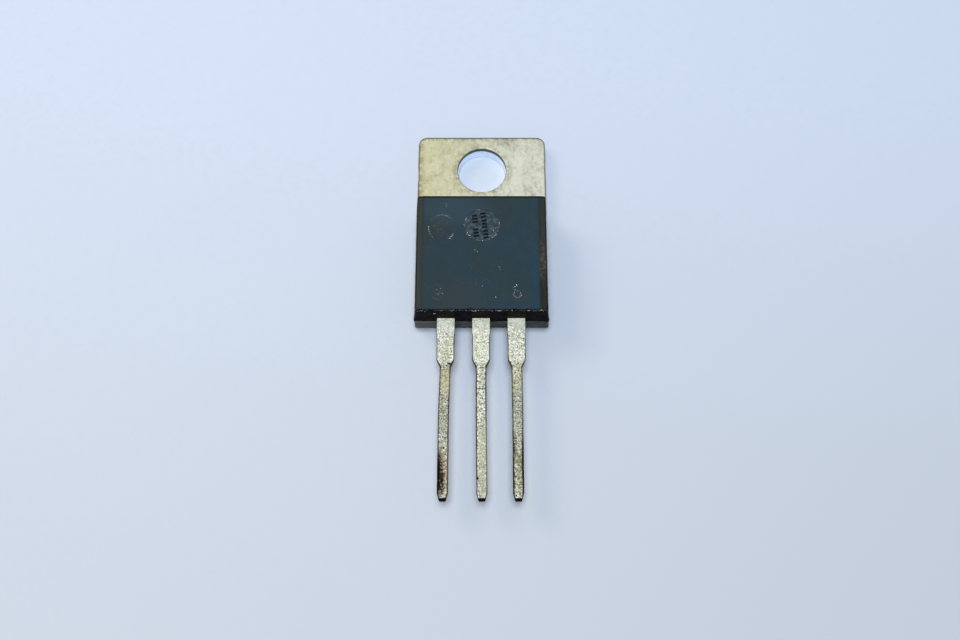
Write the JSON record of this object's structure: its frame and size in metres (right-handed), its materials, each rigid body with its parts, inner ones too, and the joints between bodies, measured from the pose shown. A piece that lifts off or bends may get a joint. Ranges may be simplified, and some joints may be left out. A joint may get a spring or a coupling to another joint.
{
  "type": "power mosfet",
  "caption": "Three-lead power transistor: drafted moulded body, drilled metal tab that carries the middle lead, and two separate outer leads in one plane.",
  "frame": {"origin": "centre of the tab's hole, on the metal seating plane at the back", "axes": "+Y up the tab, away from the leads, which run out along -Y; +Z out of the moulded front face; +X to the right when the front face is seen with the leads towards the viewer"},
  "size_m": [0.0098, 0.0286, 0.0045],
  "materials": {
    "moulding": "fine spark-eroded satin",
    "plated_copper": "dull tin plate on copper",
    "silicon": "polished",
    "solder": "reflowed",
    "bond_wire": "drawn"
  },
  "bodies": {
    "root": {"epoxy_body": "moulding", "tab_and_drain_lead": "plated_copper", "gate_lead": "plated_copper", "source_lead": "plated_copper", "silicon_die": "silicon", "die_solder": "solder", "gate_wire": "bond_wire", "source_wire_inner": "bond_wire", "source_wire_outer": "bond_wire"}
  },
  "joints": []
}
